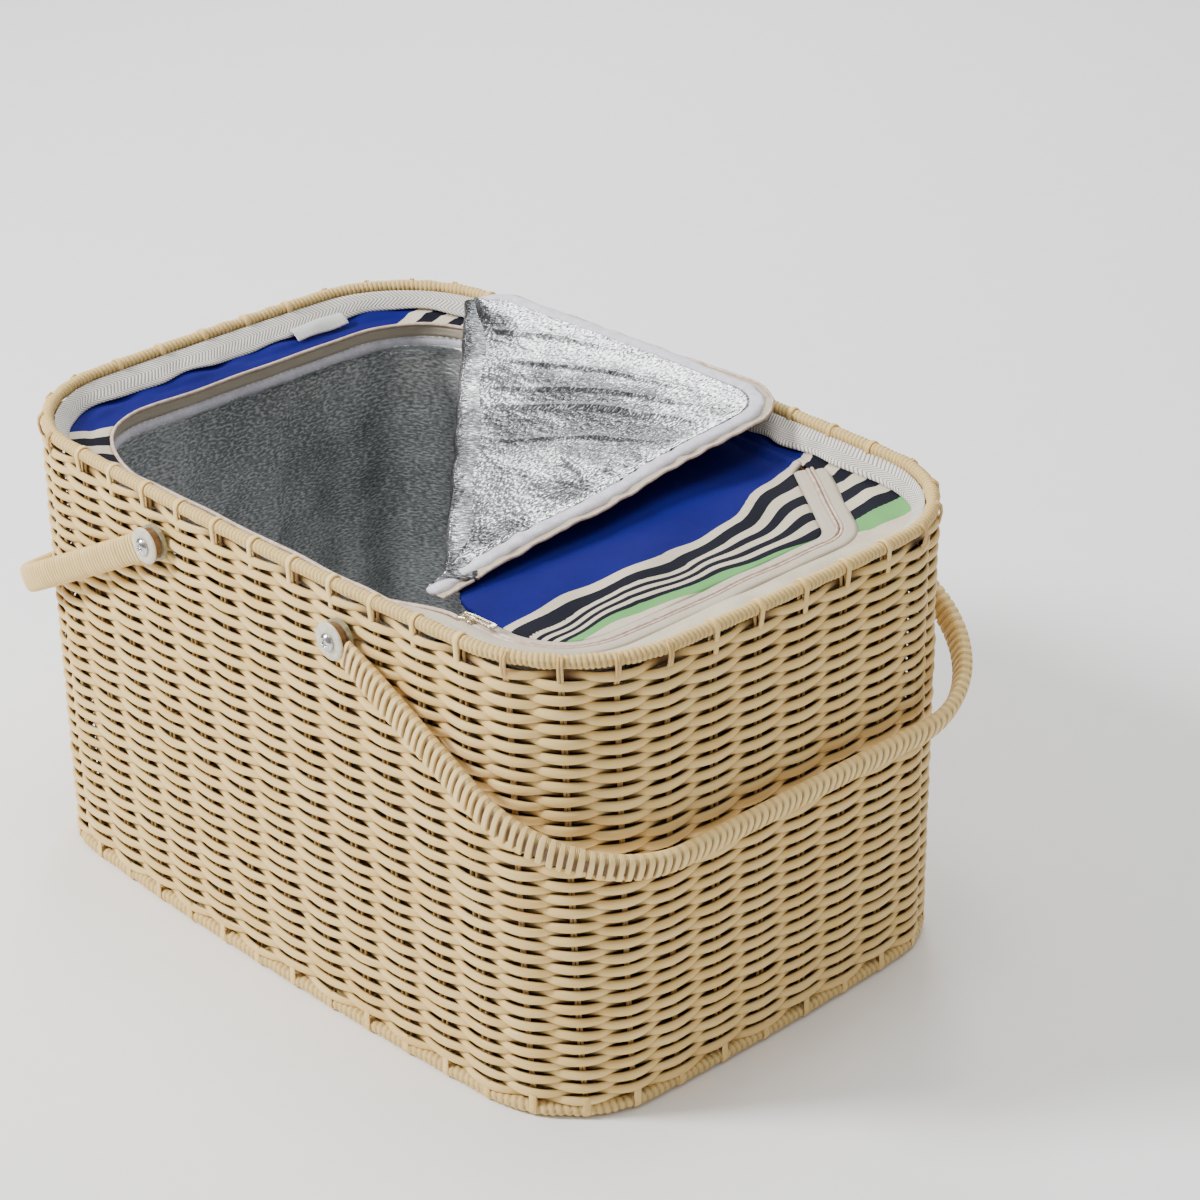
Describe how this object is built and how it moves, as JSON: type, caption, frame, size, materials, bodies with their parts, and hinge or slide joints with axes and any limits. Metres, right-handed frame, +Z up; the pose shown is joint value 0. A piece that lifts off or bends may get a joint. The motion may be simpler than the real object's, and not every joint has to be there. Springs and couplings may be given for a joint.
{
  "type": "picnic basket",
  "caption": "Woven cane picnic basket with rounded corners, two swing handles on bolted pivots, and a foil-lined cooler liner whose zipped lid is folded half open.",
  "frame": {"origin": "centre of the base's underside, on the surface that the basket stands on", "axes": "+X towards the right-hand end, -Y towards the near long side, +Z up"},
  "size_m": [0.5137, 0.3508, 0.2819],
  "materials": {
    "cane": "satin moulded cane",
    "handle_cane": "satin moulded cane",
    "frame_wire": "coated wire",
    "handle_core": "coated bar",
    "bolt_steel": "bright steel",
    "washer_plastic": "translucent plastic",
    "liner_fabric": "striped canvas",
    "foam": "closed-cell foam",
    "foil": "embossed silver film",
    "rim_tape": "herringbone twill tape",
    "fleece": "brushed binding",
    "zip_tape": "woven zip tape",
    "zip_metal": "bright metal",
    "label_cloth": "plain woven tab"
  },
  "bodies": {
    "basket": {"backing_washer_left_far": "bolt_steel", "backing_washer_left_near": "bolt_steel", "backing_washer_right_far": "bolt_steel", "backing_washer_right_near": "bolt_steel", "base_panel": "cane", "base_wrap": "cane", "label_tab": "label_cloth", "lid_margin": "liner_fabric", "lid_panel": "liner_fabric", "liner_foam": "foam", "liner_foil": "foil", "liner_shell": "liner_fabric", "lock_nut_left_far": "bolt_steel", "lock_nut_left_near": "bolt_steel", "lock_nut_right_far": "bolt_steel", "lock_nut_right_near": "bolt_steel", "opening_binding": "fleece", "outer_washer_left_far": "washer_plastic", "outer_washer_left_near": "washer_plastic", "outer_washer_right_far": "washer_plastic", "outer_washer_right_near": "washer_plastic", "pivot_bolt_left_far": "bolt_steel", "pivot_bolt_left_near": "bolt_steel", "pivot_bolt_right_far": "bolt_steel", "pivot_bolt_right_near": "bolt_steel", "rim_tape": "rim_tape", "rim_wrap": "cane", "spacer_washer_left_far": "washer_plastic", "spacer_washer_left_near": "washer_plastic", "spacer_washer_right_far": "washer_plastic", "spacer_washer_right_near": "washer_plastic", "stake_frame": "frame_wire", "wicker_wall": "cane", "zip_tape_fixed": "zip_tape", "zip_tape_lid": "zip_tape"},
    "handle_left": {"handle_left_core": "handle_core", "handle_left_wrap": "handle_cane"},
    "handle_right": {"handle_right_core": "handle_core", "handle_right_wrap": "handle_cane"},
    "lid_flap": {"flap_panel": "foil", "flap_binding": "fleece", "flap_zip_tape": "zip_tape"},
    "zip_slider": {"zip_slider": "zip_metal"},
    "zip_pull": {"zip_pull": "zip_metal"}
  },
  "joints": [
    {"name": "handle_left_swing", "type": "hinge", "parent": "basket", "child": "handle_left", "pos_m": [-0.078, 0, 0.242], "axis": [0, 1, 0], "range_deg": [0, 137.5]},
    {"name": "handle_right_swing", "type": "hinge", "parent": "basket", "child": "handle_right", "pos_m": [0.078, 0, 0.242], "axis": [0, -1, 0], "range_deg": [0, 136]},
    {"name": "lid_flap_fold", "type": "hinge", "parent": "basket", "child": "lid_flap", "pos_m": [-0.1575, 0.1325, 0.2785], "axis": [0.7218, -0.6892, -0.0638], "range_deg": [0, 181.5]},
    {"name": "zip_slide", "type": "slide", "parent": "basket", "child": "zip_slider", "axis": [-1, 0, 0], "range_m": [0, 0.275]},
    {"name": "zip_pull_lift", "type": "hinge", "parent": "zip_slider", "child": "zip_pull", "pos_m": [0.12685, -0.122, 0.2583], "axis": [0, -1, 0], "range_deg": [0, 150]}
  ],
  "couplings": [
    {"joint": "zip_slide", "follows": "lid_flap_fold", "m_per_rad": 0.0868}
  ]
}
